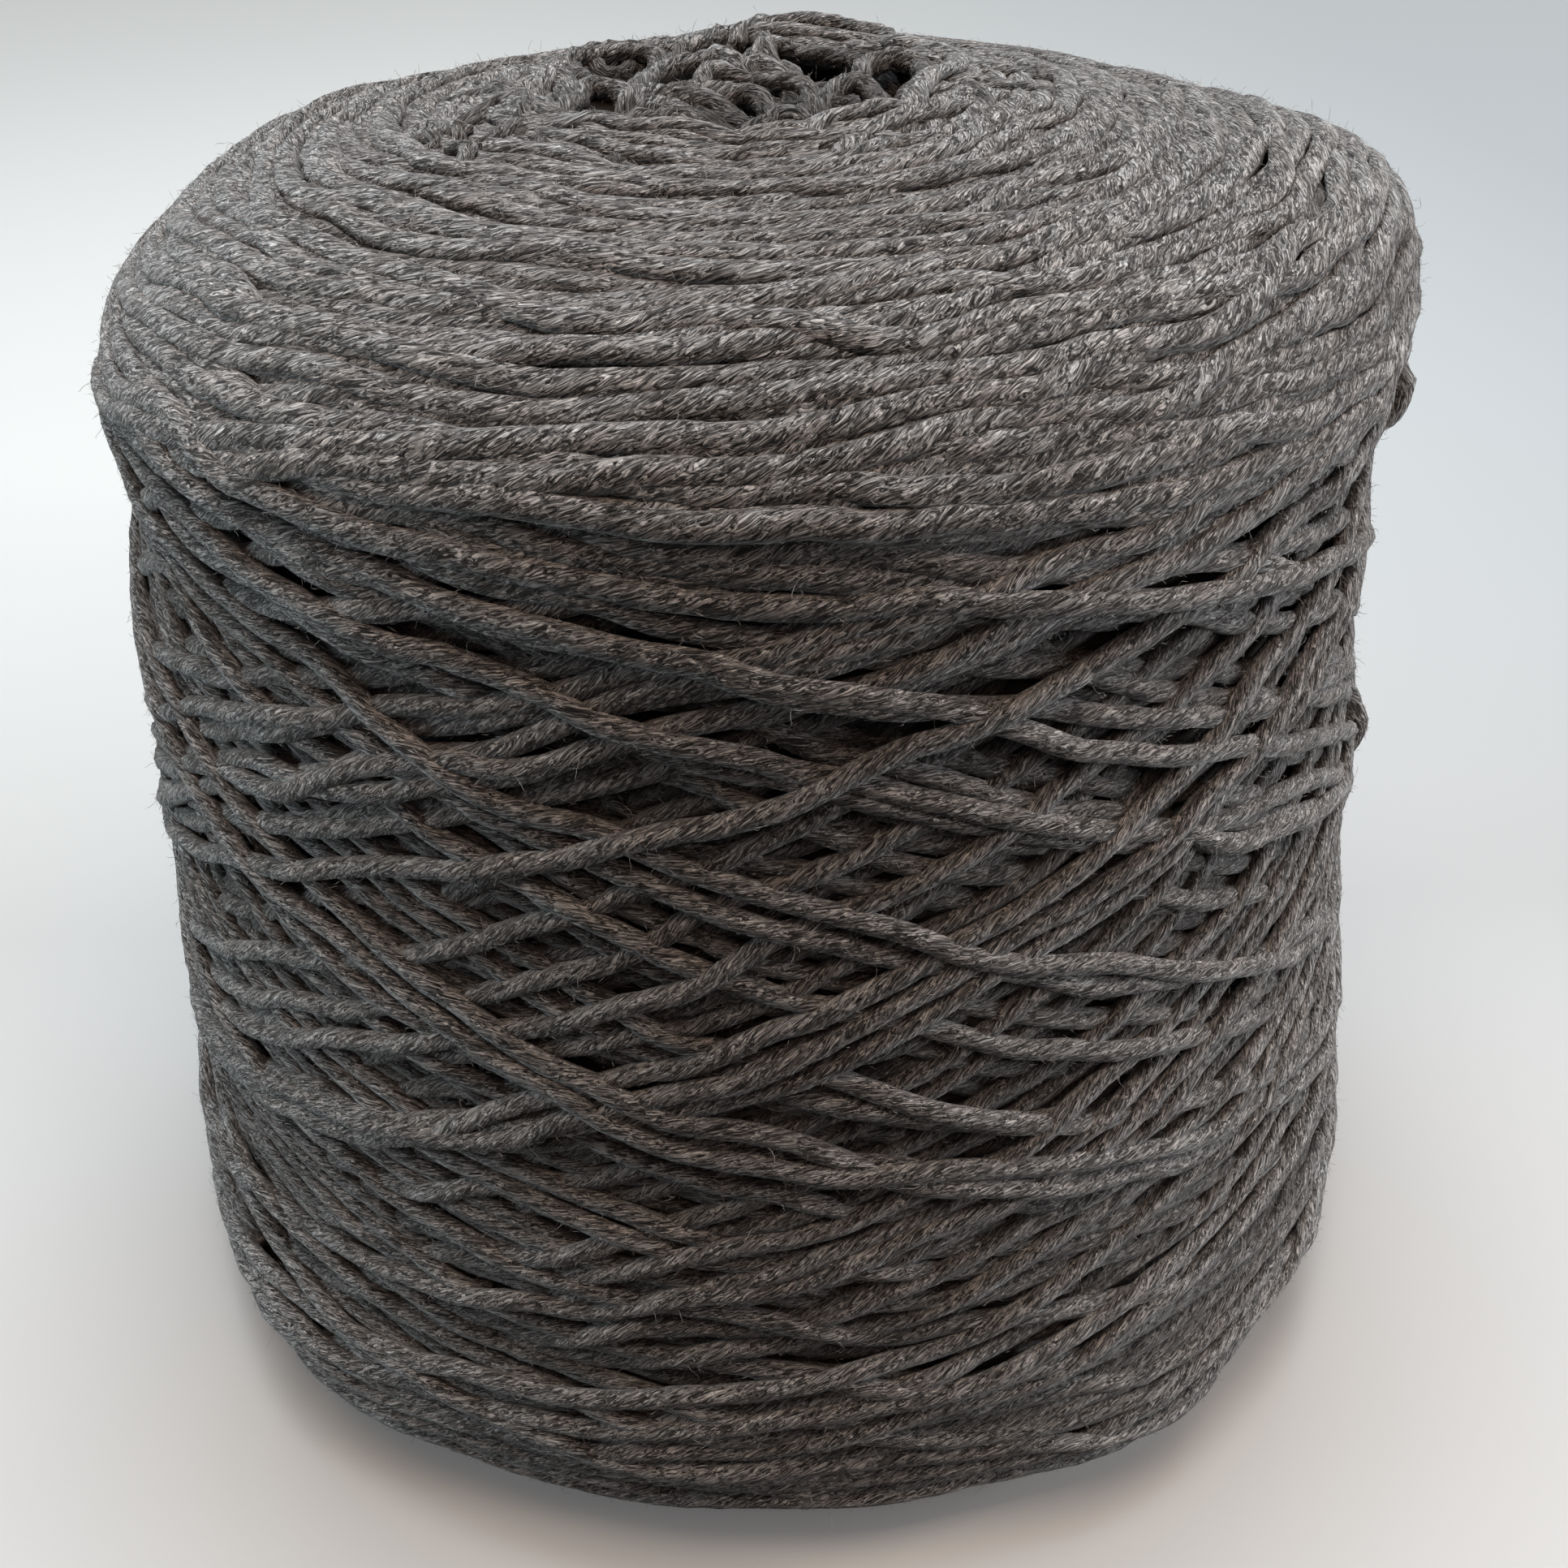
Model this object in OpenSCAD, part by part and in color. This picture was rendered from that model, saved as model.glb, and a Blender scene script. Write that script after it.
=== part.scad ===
// Cross-wound yarn package on a tapered paper cone.
// Origin: centre of the cone's foot ring, on the surface it stands on. +Z runs up the cone's axis.

/* [Package] */
// Largest radius of the wound yarn, just above its lower edge
base_r = 95; // [85:1:100]
// Radius of the shoulder, where the wall turns into the dome
shoulder_r = 84; // [80:1:87]
// Height of the shoulder
shoulder_z = 139; // [134:1:141]
// Height of the dome's highest ring
top_z = 169; // [167:1:172]
// How far the wall draws in between its lower edge and the shoulder
waist = 1.6; // [0:0.2:3]
// Fullness of the dome: 2 is an ellipse, and above it the dome is flatter on top
dome_fullness = 2.25; // [2:0.05:2.4]
// Radius of the pit's lip on the dome
lip_r = 26; // [25:0.5:30]
// Radius of the pit over the cone's nose
pit_r = 19.5; // [19:0.5:21]
// Height of the yarn's flat lower face
yarn_foot_z = 4; // [3:0.5:6]
// Width of the rounded lower edge
edge_w = 17; // [12:1:20]
// Height of the rounded lower edge
edge_h = 16; // [12:1:20]

/* [Yarn] */
// Diameter of the yarn
yarn_d = 2.6; // [2:0.1:3]
// Up-and-down swings of the yarn in the outer layer
swings = 9; // [7, 9]
// Turns that the outer layer makes round the cone
turns = 23; // [20, 22, 23]
// How much slower the yarn climbs on the dome than on the wall
dome_ease = 1.35; // [1:0.05:1.5]

/* [Nose loops] */
// Loops of yarn that lie over the cone's nose
nose_turns = 3; // [2:1:3]
// Radius of one nose loop
nose_loop_r = 7.5; // [6:0.5:8]
// How far each nose loop's centre stands off the axis
nose_loop_shift = 4.5; // [3:0.5:5]
// Climb from one nose loop to the next
nose_climb = 4.4; // [4.2:0.1:4.6]

/* [Paper cone] */
// Length of the cone
cone_l = 150; // [148:1:152]
// Outer radius of the cone's foot
cone_foot_r = 31; // [30:0.5:33]
// Taper of the cone, from its axis to its wall
cone_taper = 5.95; // [5.6:0.05:6.2]
// Thickness of the paper wall
cone_wall = 3; // [2:0.25:3.5]
// Radius of the bore in the rolled nose
nose_bore_r = 10.5; // [10:0.25:11]
// Length of the bore in the rolled nose
nose_bore_l = 8; // [6:0.5:10]

/* [Hidden] */
$fn = 96;

// Yarn ---------------------------------------------------------------------------------------------

tube_sides = 6;
rings_per_turn = 24;
ring_step = 360 / rings_per_turn;
yarn_r = yarn_d / 2;

// A straight run between two rings passes closer to the axis than its ends do, by this much
chord_sag = base_r * (1 - cos(ring_step / 2));
// Height of each layer's centre line over the core, and from there to the outside
core_gap = 0.05;
layer_gap = 0.25;
inner_lift = yarn_r + chord_sag + core_gap;
layer_rise = yarn_d + chord_sag + layer_gap;
outer_lift = inner_lift + layer_rise;
cover = outer_lift + yarn_r;

// Cone ---------------------------------------------------------------------------------------------

nose_roll_r = 2.5;     // round on the outside of the rolled nose
nose_mouth = 1.5;      // flare at the upper end of the bore
foot_break = 0.4;      // broken edges of the foot
nose_base = 4;         // height of the slope from the bore out to the tapered wall

function cone_outer_r(z) = cone_foot_r - z * tan(cone_taper);
function cone_inner_r(z) = cone_outer_r(z) - cone_wall / cos(cone_taper);

// Core outline -------------------------------------------------------------------------------------

arc_steps = 10;
wall_steps = 12;
dome_steps = 20;
ledge_drop = 1.5;
ledge_z = cone_l - ledge_drop;           // floor of the pit, round the nose
core_top = top_z - cover;
lip_round = lip_r - pit_r;
edge_in_r = base_r - edge_w;
edge_top_z = yarn_foot_z + edge_h;

// Rounded lower edge, from the flat face out to the wall
edge_points = [for (i = [0:arc_steps]) let (a = 90 * i / arc_steps)
    [edge_in_r + (edge_w - cover) * sin(a), edge_top_z - edge_h * cos(a)]];

// Tapered and slightly waisted wall
wall_points = [for (i = [1:wall_steps]) let (t = i / wall_steps)
    [base_r - cover + (shoulder_r - base_r) * t - waist * sin(180 * t),
     edge_top_z + (shoulder_z - edge_top_z) * t]];

// Dome, from the shoulder to the lip of the pit
dome_power = 2 / dome_fullness;
dome_points = [for (i = [1:dome_steps]) let (a = 90 * i / dome_steps)
    [lip_r + (shoulder_r - cover - lip_r) * pow(max(0, cos(a)), dome_power),
     shoulder_z + (core_top - shoulder_z) * pow(sin(a), dome_power)]];

// Rounded lip and the pit's wall down to its floor
pit_points = [for (i = [1:arc_steps]) let (a = 90 * i / arc_steps)
    [lip_r - lip_round * sin(a), core_top - lip_round * (1 - cos(a))]];

core_outline = concat(edge_points, wall_points, dome_points, pit_points, [[pit_r, ledge_z]]);

// Places along the outline ---------------------------------------------------------------------------

last = len(core_outline) - 1;

function run_to(i) = i == 0 ? 0 : run_to(i - 1) + norm(core_outline[i] - core_outline[i - 1]);
function outward(i) =
    let (d = core_outline[min(i + 1, last)] - core_outline[max(i - 1, 0)])
    [d[1], -d[0]] / norm(d);

runs = [for (i = [0:last]) run_to(i)];
r_along = [for (i = [0:last]) [runs[i], core_outline[i][0]]];
z_along = [for (i = [0:last]) [runs[i], core_outline[i][1]]];
out_r_along = [for (i = [0:last]) [runs[i], outward(i)[0]]];
out_z_along = [for (i = [0:last]) [runs[i], outward(i)[1]]];

edge_reach = 0.55;                       // share of the lower edge's run that the yarn leaves bare
lip_margin = 1;                          // run left bare beside the pit's lip
run_edge = edge_reach * runs[arc_steps];
run_lip = runs[arc_steps + wall_steps + dome_steps] - lip_margin;
run_floor = runs[last];

// Point over the core at an angle, a run along the outline and a height over the surface
function over_core(angle, run, lift) =
    let (r = lookup(run, r_along) + lift * lookup(run, out_r_along),
         z = lookup(run, z_along) + lift * lookup(run, out_z_along))
    [r * cos(angle), r * sin(angle), z];

function core_normal(angle, run) =
    let (r = lookup(run, out_r_along), z = lookup(run, out_z_along))
    [r * cos(angle), r * sin(angle), z];

// Winding --------------------------------------------------------------------------------------------

// The yarn swings from the pit's lip to the lower edge and back, one swing being two passes. Every
// pass down lies in the outer layer and every pass up in the inner one, and the yarn changes
// layer where it turns back, so passes cross without touching.
half_swing = 180 * turns / swings;    // angle that one pass turns through
turn_back = 0.995;                    // below 1: rounds the places where the yarn turns back
layer_change = 0.11;                  // how soon after turning back the yarn is in its layer
tail_turn = 24;                       // angle over which each tail swings in to the pit
tail_stop = 7;                        // angle of each tail inside the pit
tail_steps = 8;

turn_limit = acos(turn_back) / 180;
function swing_share(angle) =
    (acos(turn_back * cos(180 * angle / half_swing)) / 180 - turn_limit) / (1 - 2 * turn_limit);
function swing_run(angle) =
    run_lip - (run_lip - run_edge) * pow(max(0, swing_share(angle)), dome_ease);
function in_layer(angle) =
    let (s = sin(180 * angle / half_swing) / layer_change) (1 + min(1, max(-1, s))) / 2;
function swing_lift(angle) = inner_lift + layer_rise * in_layer(angle);

// Each tail leaves the winding beside the lip, turns in over it and runs down the pit's wall
function tail_angle(t) = tail_stop + (tail_turn - tail_stop) * (1 - sin(90 * t));
function tail_run(t) =
    let (start = swing_run(tail_turn)) start + (run_floor - start) * (1 - cos(90 * t));
function tail_lift(t, outer) = inner_lift + (outer ? layer_rise * (1 - t * t) : 0);

end_angle = 360 * turns;
swing_angles = [for (a = [tail_turn + ring_step / 2:ring_step:end_angle - tail_turn - 1]) a];

// Each place is [angle, run along the outline, height over the core]
places = concat(
    [for (i = [tail_steps:-1:0]) let (t = i / tail_steps) [tail_angle(t), tail_run(t), tail_lift(t, true)]],
    [for (a = swing_angles) [a, swing_run(a), swing_lift(a)]],
    [for (i = [0:tail_steps]) let (t = i / tail_steps)
        [end_angle - tail_angle(t), tail_run(t), tail_lift(t, false)]]);

winding_path = [for (p = places) over_core(p[0], p[1], p[2])];
winding_normals = [for (p = places) core_normal(p[0], p[1])];

// Nose loops -----------------------------------------------------------------------------------------

// Round loops that stand off the axis, each turned on from the last and one climb above it
loop_drift = 0.4;                              // turns that the loops' centre makes in one loop
nose_gap = 0.1;                                // gap to the nose, and to the pit's wall
nose_start_z = cone_l + yarn_r + nose_gap;
entry_steps = 5;
entry_lead = 50;                               // angle between a loop end and its place on the wall
entry_straight = 1;                            // straight part of each end, in yarn diameters
entry_bend = 2.4;                              // where each end has begun to bend, in yarn diameters
entry_pull = 4;                                // how firmly each end flows into its loop
nose_angles = [0:ring_step:360 * nose_turns];

function nose_point(a) = [
    nose_loop_shift * cos(loop_drift * a) + nose_loop_r * cos(a),
    nose_loop_shift * sin(loop_drift * a) + nose_loop_r * sin(a),
    nose_start_z + nose_climb * a / 360];

// Bend from the pit's wall, square to it, to a loop's end. side is -1 before the loops, 1 after
function wall_place(at, side, r) =
    let (p = nose_point(at), a = atan2(p[1], p[0]) + side * entry_lead) [r * cos(a), r * sin(a), p[2]];
function bend_point(at, side, t) =
    let (p0 = wall_place(at, side, pit_r - entry_straight * yarn_d),
         p1 = wall_place(at, side, pit_r - entry_bend * yarn_d),
         p3 = nose_point(at), before = nose_point(at + side) - p3,
         p2 = p3 + before * entry_pull / norm(before))
    pow(1 - t, 3) * p0 + 3 * pow(1 - t, 2) * t * p1 + 3 * (1 - t) * t * t * p2 + t * t * t * p3;
function nose_end(at, side) = concat(
    [wall_place(at, side, pit_r - nose_gap)],
    [for (i = [0:entry_steps - 1]) bend_point(at, side, i / entry_steps)]);
function reversed(list) = [for (i = [len(list) - 1:-1:0]) list[i]];

nose_path = concat(
    nose_end(0, -1),
    [for (a = nose_angles) nose_point(a)],
    reversed(nose_end(360 * nose_turns, 1)));
nose_normals = [for (p = nose_path) [0, 0, 1]];

// Least gap ------------------------------------------------------------------------------------------

function clamped(v) = min(1, max(0, v));
function to_run(p, a, b) = let (d = b - a) norm(p - a - d * clamped((p - a) * d / (d * d)));

// Distance between two straight runs: at their ends, and where their lines pass each other
function run_gap(a, b, c, d) =
    let (u = b - a, v = d - c, w = a - c, uu = u * u, vv = v * v, uv = u * v, k = uu * vv - uv * uv,
         s = clamped((uv * (v * w) - vv * (u * w)) / max(k, 0.001)),
         t = clamped((uu * (v * w) - uv * (u * w)) / max(k, 0.001)))
    min(norm(w + s * u - t * v), to_run(a, c, d), to_run(b, c, d), to_run(c, a, b), to_run(d, a, b));

// Neighbouring runs are left out: those nearer than a quarter of a turn along the yarn
function least_gap(path) =
    let (n = len(path) - 2, reach = 12 * yarn_d,
         apart = [for (i = [0:n], j = [i + rings_per_turn / 4:1:n])
             if (norm(path[i] - path[j]) < reach) run_gap(path[i], path[i + 1], path[j], path[j + 1])])
    min(apart) - yarn_d;

// Sub-parts ------------------------------------------------------------------------------------------

// One closed tube along a path. normals holds one direction per point that the rings are set by
module yarn_tube(path, normals) {
    n = len(path);
    rings = [for (i = [0:n - 1])
        let (t = path[min(i + 1, n - 1)] - path[max(i - 1, 0)],
             side = cross(t, normals[i]), b = side / norm(side), up = cross(b, t) / norm(t))
        for (k = [0:tube_sides - 1]) let (a = 360 * k / tube_sides)
            path[i] + yarn_r * (cos(a) * up + sin(a) * b)];
    walls = [for (i = [0:n - 2], k = [0:tube_sides - 1])
        let (p = i * tube_sides + k, q = i * tube_sides + (k + 1) % tube_sides)
        each [[p, q, p + tube_sides], [q, q + tube_sides, p + tube_sides]]];
    foot = [for (k = [1:tube_sides - 2]) [0, k + 1, k]];
    head = [for (k = [1:tube_sides - 2]) [0, k, k + 1] + (n - 1) * tube_sides * [1, 1, 1]];
    polyhedron(rings, concat(walls, foot, head));
}

// Tapered tube of wound paper, with its nose rolled inwards round a short true bore
module paper_cone() {
    bore_z = cone_l - nose_mouth - nose_bore_l;
    roll = [for (i = [0:arc_steps]) let (a = 90 * i / arc_steps, r = cone_outer_r(cone_l - nose_roll_r))
        [r - nose_roll_r * (1 - cos(a)), cone_l - nose_roll_r * (1 - sin(a))]];
    color("tan") rotate_extrude() polygon(concat(
        [[cone_inner_r(0) + foot_break, 0], [cone_foot_r - foot_break, 0],
         [cone_outer_r(foot_break), foot_break]],
        roll,
        [[nose_bore_r + nose_mouth, cone_l], [nose_bore_r, cone_l - nose_mouth], [nose_bore_r, bore_z],
         [cone_inner_r(bore_z - nose_base), bore_z - nose_base], [cone_inner_r(foot_break), foot_break]]));
}

// Inner layers of the package: a turned body on the cone, open over its nose
module yarn_body() {
    grip_r = cone_outer_r(ledge_z - nose_roll_r);
    color([0.34, 0.33, 0.33]) rotate_extrude() polygon(concat(
        core_outline,
        [[grip_r, ledge_z], [grip_r, ledge_z - nose_roll_r], [cone_outer_r(yarn_foot_z), yarn_foot_z]]));
}

// Outer layer: one unbroken yarn, cross-wound from the pit's lip to the lower edge and back
module outer_winding() {
    echo(outer_winding_least_gap_mm = least_gap(winding_path));
    color([0.42, 0.41, 0.4]) yarn_tube(winding_path, winding_normals);
}

// Loops that have slipped over the cone's nose, one above the other
module nose_loops() {
    echo(nose_loops_least_gap_mm = least_gap(nose_path));
    color([0.38, 0.37, 0.36]) yarn_tube(nose_path, nose_normals);
}

paper_cone();
yarn_body();
outer_winding();
nose_loops();
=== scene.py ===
import math

import bpy
import numpy as np
from mathutils import Matrix, Vector


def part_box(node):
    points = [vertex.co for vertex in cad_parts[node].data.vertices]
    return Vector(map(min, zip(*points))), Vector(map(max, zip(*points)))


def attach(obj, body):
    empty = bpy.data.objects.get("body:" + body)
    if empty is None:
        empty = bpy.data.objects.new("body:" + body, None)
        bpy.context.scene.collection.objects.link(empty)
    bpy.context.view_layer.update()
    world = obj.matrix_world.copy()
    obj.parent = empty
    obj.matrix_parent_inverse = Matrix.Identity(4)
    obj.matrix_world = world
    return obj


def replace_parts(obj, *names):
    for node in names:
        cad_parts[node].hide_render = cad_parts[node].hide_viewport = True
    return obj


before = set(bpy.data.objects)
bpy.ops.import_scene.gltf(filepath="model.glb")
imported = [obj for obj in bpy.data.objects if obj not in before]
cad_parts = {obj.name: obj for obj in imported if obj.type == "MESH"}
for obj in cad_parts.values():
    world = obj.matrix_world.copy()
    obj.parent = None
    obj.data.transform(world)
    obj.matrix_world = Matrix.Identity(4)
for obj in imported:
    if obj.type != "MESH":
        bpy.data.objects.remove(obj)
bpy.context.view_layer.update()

# A cross-wound cone of heather yarn. Lengths below are in millimetres and angles in degrees, unless a
# comment says otherwise. Meshes are made in metres.
MM = 0.001
TURN = 2 * math.pi
rng = np.random.default_rng(11)


def node_box(name):
    """Lowest and highest corner of a CAD node, in millimetres."""
    return [np.array(corner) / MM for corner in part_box(name)]


# Package ------------------------------------------------------------------------------------------

cone_box, body_box, winding_box = (node_box(n) for n in ("paper_cone", "yarn_body", "outer_winding"))
FOOT_Z = body_box[0][2]            # flat lower face of the yarn
TOP_Z = winding_box[1][2]          # highest ring of the dome
BASE_R = winding_box[1][0] + 0.6   # just above the rounded lower edge
SHOULDER_R = BASE_R - 11.2
SHOULDER_Z = TOP_Z - 30
WAIST = 1.8                        # how far the wall draws in between its lower edge and the shoulder
DOME_FULLNESS = 2.25
EDGE_W, EDGE_H = 17, 16            # rounded lower edge
LIP_R, PIT_R = 27, 19.5            # lip and wall of the pit over the cone's nose
LEDGE_Z = cone_box[1][2] - 1.5     # floor of the pit

# Places where the package swells or draws in: height, angle, spread up and round, and how far out
SWELLS = [
    (12, -132, 10, 12, 2.4),
    (12, -61, 9, 12, 2.4),
    (14, -48, 24, 26, 2.2),
    (12, -92, 18, 18, -0.9),
    (38, -164, 18, 30, -1.2),
    (40, -16, 30, 24, -0.9),
    (110, -20, 12, 22, -0.8),
    (127, -163, 9, 24, -2.2),
    (134, -21, 8, 18, -1.3),
    (142, 140, 14, 30, 1.6),
    (143, 38, 12, 26, 1.8),
    (149, -173, 17, 28, -1.5),
    (154, -6, 10, 24, 6.6),
    (163, 160, 7, 18, 1.8),
    (166, 140, 12, 44, -1.2),
    (168, 84, 8, 17, 0.7),
    (168, -95, 6, 42, -1.2),
]

# Yarn ---------------------------------------------------------------------------------------------

YARN_W, YARN_H = 2.5, 2.25         # the yarn is a little flattened where it lies
SINK = 0.45                        # how far a pass presses into what it crosses
YARN_TWIST = 19                    # length of one turn of the twist
PRESSED_W = [1.02, 1.27]           # how much wider it is, pressed among others on the wall and the dome
PRESSED_H = [0.98, 0.84]           # and how much flatter
SQUARENESS = 0.90                  # 1 draws a round section, and below it the section is fuller

RUN_CELL = 0.5                     # height map: cell along the outline
ANGLE_CELLS = 900                  # and cells round the package
LAY_STEP = 1.1                     # spacing of the points on a pass while it is laid
STAMP_SHARE = 0.4                  # and of the points that raise the height map, as a share of that


def wall_outline(share):
    """Radius and height of the wall, from the lower edge at 0 to the shoulder at 1."""
    low = FOOT_Z + EDGE_H
    radius = BASE_R + (SHOULDER_R - BASE_R) * share - WAIST * np.sin(np.pi * share)
    return np.c_[radius, low + (SHOULDER_Z - low) * share]


def package_outline():
    """Outline of the wound yarn: under the lower edge, up the wall, over the dome and into the pit."""
    quarter = np.linspace(0, np.pi / 2, 40)
    edge = np.c_[BASE_R - EDGE_W + EDGE_W * np.sin(quarter), FOOT_Z + EDGE_H - EDGE_H * np.cos(quarter)]
    wall = wall_outline(np.linspace(0, 1, 60)[1:])
    quarter = np.linspace(0, np.pi / 2, 160)[1:]
    power = 2 / DOME_FULLNESS
    dome = np.c_[LIP_R + (SHOULDER_R - LIP_R) * np.abs(np.cos(quarter)) ** power,
                 SHOULDER_Z + (TOP_Z - SHOULDER_Z) * np.sin(quarter) ** power]
    lip_round = LIP_R - PIT_R
    lip = np.c_[LIP_R - lip_round * np.sin(quarter), TOP_Z - lip_round * (1 - np.cos(quarter))]
    points = np.vstack([edge, wall, dome, lip, [[PIT_R, LEDGE_Z]]])
    runs = np.r_[0, np.cumsum(np.hypot(*np.diff(points, axis=0).T))]
    even = np.arange(0, runs[-1], RUN_CELL)
    return even, np.interp(even, runs, points[:, 0]), np.interp(even, runs, points[:, 1])


def smoothed(values, width):
    """Values averaged over a bell of that many samples, with the ends held."""
    reach = max(1, int(3 * width))
    bell = np.exp(-0.5 * (np.arange(-reach, reach + 1) / width) ** 2)
    padded = np.pad(values, reach, mode="edge")
    return np.convolve(padded, bell / bell.sum(), mode="valid")


RUNS, RUN_R, RUN_Z = package_outline()
slope_r, slope_z = smoothed(np.gradient(RUN_R, RUN_CELL), 4), smoothed(np.gradient(RUN_Z, RUN_CELL), 4)
slope_len = np.hypot(slope_r, slope_z)
OUT_R, OUT_Z = slope_z / slope_len, -slope_r / slope_len
RUN_BEND = smoothed(np.gradient(np.unwrap(np.arctan2(slope_z, slope_r)), RUN_CELL), 8)


def run_at_height(height):
    """Place on the outline where the wall or the dome is that high."""
    rising = RUN_Z[:np.argmax(RUN_Z)]
    return np.interp(height, rising, RUNS[:len(rising)])


RUN_LIP = RUNS[np.argmax(RUN_Z)]
RUN_LOW = 7.0                      # lowest place where the yarn turns back
RUN_SHOULDER = run_at_height(SHOULDER_Z)


def run_at_dome_radius(radius):
    """Place on the dome at that radius."""
    dome = (RUNS > RUN_SHOULDER) & (RUNS < RUN_LIP + 4)
    return np.interp(-radius, -RUN_R[dome], RUNS[dome])


# Winding ------------------------------------------------------------------------------------------

PASSES = 280
FIRST_ANGLE = 0.4                  # the yarn starts here, in radians
# Lean of a pass against the level circle, by place
LEAN_RUNS = [RUN_LOW, *(run_at_height(z) for z in (20, 45, 72, 100, 124, 139, 150)), RUN_LIP - 12, RUN_LIP]
LEAN_ANGLES = [4, 6, 12, 19, 23, 20, 9, 5.5, 5.5, 10]
TURN_ZONE = 14                     # the lean fades over this run before the yarn turns back
LEAN_SPREAD = (0.82, 1.18)         # a pass leans this much less or more than its place asks
CANDIDATES = 28                    # a pass takes the way with the deepest hollows of this many
FLATTEST = 1 / 50                  # least curvature that presses a pass down

LOW_TURNS = 20                     # a pass turns back within this run of the lowest place,
LOW_CROWDING = 1.6                 # above 1 mostly close to it
TO_LIP_SHARE = 0.3                 # this share of the passes goes up to the lip
LIP_TURNS = (28, 37)               # radii at which these turn back,
DOME_TURNS = (31, SHOULDER_R - 2)  # and radii at which the others do

# Places across the underside of a pass, in half widths, and how far it curves up there
UNDERSIDE = [(-0.84, 0.46), (-0.42, 0.1), (0, 0), (0.42, 0.1), (0.84, 0.46)]
SETTLE_ROUNDS = 4                  # a pass rolls sideways this often,
SETTLE_FEEL = 0.8                  # compares the ground this far to its two sides,
SETTLE_SHARE = 0.55                # moves by this share of their difference,
SETTLE_MOST = 0.7                  # and by no more than this
HELD_POINTS = 12                   # it moves less on this many points at its ends

heights = np.zeros((ANGLE_CELLS, len(RUNS)))


def cells(angle, run):
    """Indices of the height map under places on the package."""
    return ((angle * (ANGLE_CELLS / TURN)).astype(int) % ANGLE_CELLS,
            np.clip((run / RUN_CELL).astype(int), 0, len(RUNS) - 1))


def pass_places(angle, run_a, run_b, lean_scale):
    """Angles and runs of one pass between two turning places, evenly spaced along the yarn."""
    share = (1 - np.cos(np.linspace(0, np.pi, 300))) / 2
    run = run_a + (run_b - run_a) * share
    middle = (run[1:] + run[:-1]) / 2
    to_turn = np.minimum(abs(middle - run_a), abs(middle - run_b))
    lean = np.radians(np.interp(middle, LEAN_RUNS, LEAN_ANGLES)) * lean_scale
    climb = np.tan(lean) * np.sqrt(np.clip(to_turn / TURN_ZONE, 1e-4, 1))
    run_steps = abs(np.diff(run))
    round_steps = run_steps / climb
    angles = angle + np.r_[0, np.cumsum(round_steps / np.interp(middle, RUNS, RUN_R))]
    along = np.r_[0, np.cumsum(np.hypot(run_steps, round_steps))]
    even = np.linspace(0, along[-1], int(along[-1] / LAY_STEP) + 1)
    return np.interp(even, along, angles), np.interp(even, along, run)


def sideways(angle, run):
    """Unit directions square to a pass, as (round, up the outline), and the local radius."""
    radius = np.interp(run, RUNS, RUN_R)
    ahead_round, ahead_run = np.gradient(angle) * radius, np.gradient(run)
    length = np.hypot(ahead_round, ahead_run) + 1e-9
    return -ahead_run / length, ahead_round / length, radius


def rest_height(angle, run, shift=0.0):
    """Height at which the underside of the yarn rests on what lies below, moved sideways by shift."""
    side_round, side_run, radius = sideways(angle, run)
    best = np.full(len(angle), -1e9)
    for offset, drop in UNDERSIDE:
        d = offset * YARN_W / 2 + shift
        best = np.maximum(best, heights[cells(angle + d * side_round / radius, run + d * side_run)] - drop)
    return best


def settle(angle, run):
    """A pass rolls sideways off the ridges below it, into the grooves beside them."""
    ends = np.minimum(1, np.minimum(np.arange(len(run)), np.arange(len(run))[::-1]) / HELD_POINTS)
    for _ in range(SETTLE_ROUNDS):
        lower = rest_height(angle, run, -SETTLE_FEEL) - rest_height(angle, run, SETTLE_FEEL)
        push = smoothed(np.clip(SETTLE_SHARE * lower, -SETTLE_MOST, SETTLE_MOST), 5) * ends
        side_round, side_run, radius = sideways(angle, run)
        angle = angle + push * side_round / radius
        run = np.clip(run + push * side_run, RUN_LOW - 3, RUNS[-1] - 1)
    return angle, run


def pulled_down(angle, run, floor):
    """Height of a taut pass over its floor: it spans the hollows and bends only over the ridges."""
    side_round, side_run, radius = sideways(angle, run)
    hoop = np.interp(run, RUNS, OUT_R) / radius
    bend = side_run ** 2 * hoop + side_round ** 2 * np.interp(run, RUNS, RUN_BEND)
    fall = np.cumsum(np.cumsum(np.maximum(bend, FLATTEST))) * LAY_STEP ** 2
    level = floor - fall
    hull = []
    for i in range(len(level)):
        while len(hull) > 1:
            a, b = hull[-2], hull[-1]
            if (level[b] - level[a]) * (i - a) > (level[i] - level[a]) * (b - a):
                break
            hull.pop()
        hull.append(i)
    return np.interp(np.arange(len(level)), hull, level[hull]) + fall


def stamp(ground, angle, run, centre, half_w=YARN_W / 2, half_h=YARN_H / 2):
    """Raises a height map to the top of a pass."""
    points = np.arange(len(angle))
    even = np.arange(0, len(run) - 1, STAMP_SHARE)
    angle, run, centre, half_w, half_h = (np.interp(even, points, values + 0 * angle)
                                          for values in (angle, run, centre, half_w, half_h))
    side_round, side_run, radius = sideways(angle, run)
    for offset in np.linspace(-0.94, 0.94, 9):
        d = offset * half_w
        top = centre + half_h * math.sqrt(1 - offset ** 2)
        np.maximum.at(ground, cells(angle + d * side_round / radius, run + d * side_run), top)


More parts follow.
